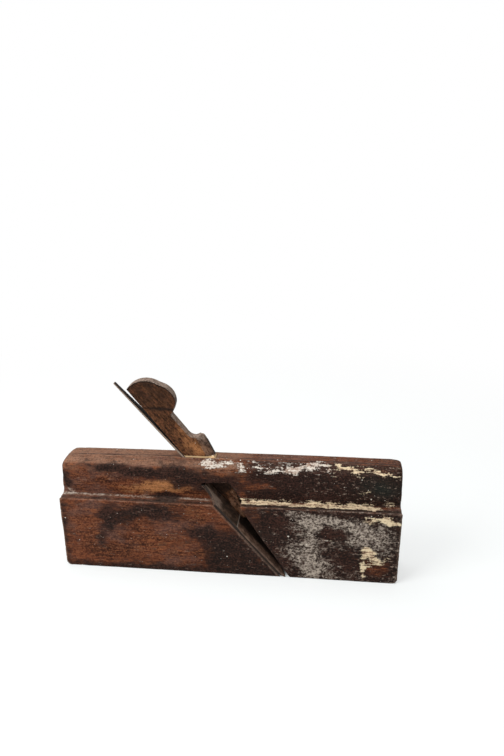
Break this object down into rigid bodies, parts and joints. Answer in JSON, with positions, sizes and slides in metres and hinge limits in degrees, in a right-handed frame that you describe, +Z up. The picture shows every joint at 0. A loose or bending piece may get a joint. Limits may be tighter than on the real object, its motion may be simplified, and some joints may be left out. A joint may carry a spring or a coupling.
{
  "type": "wooden moulding plane",
  "caption": "Old wooden moulding plane: a stepped hardwood stock with a side throat, a slim tapered iron bedded at a slope, and a carved wedge that holds it.",
  "frame": {"origin": "middle of the sole, in the plane that the plane stands on", "axes": "+X toward the toe, +Y toward the closed left side, +Z up from the sole"},
  "size_m": [0.2414, 0.0274, 0.1424],
  "materials": {
    "stock_wood": "aged beech with dark patina, wear and flaking pale paint",
    "wedge_wood": "dark hand-worn hardwood",
    "wrought_iron": "brown rust",
    "tool_steel": "dull grey-brown, worn"
  },
  "bodies": {
    "stock": {"stock": "stock_wood"},
    "wedge": {"wedge": "wedge_wood"},
    "cutter": {"iron": "wrought_iron", "cutting_steel": "tool_steel"}
  },
  "joints": [
    {"name": "wedge_slide", "type": "slide", "parent": "stock", "child": "wedge", "axis": [-0.6428, 0, 0.766], "range_m": [0, 0.064]},
    {"name": "iron_slide", "type": "slide", "parent": "stock", "child": "cutter", "axis": [0.6428, 0, -0.766], "range_m": [-0.0014, 0.012]}
  ]
}
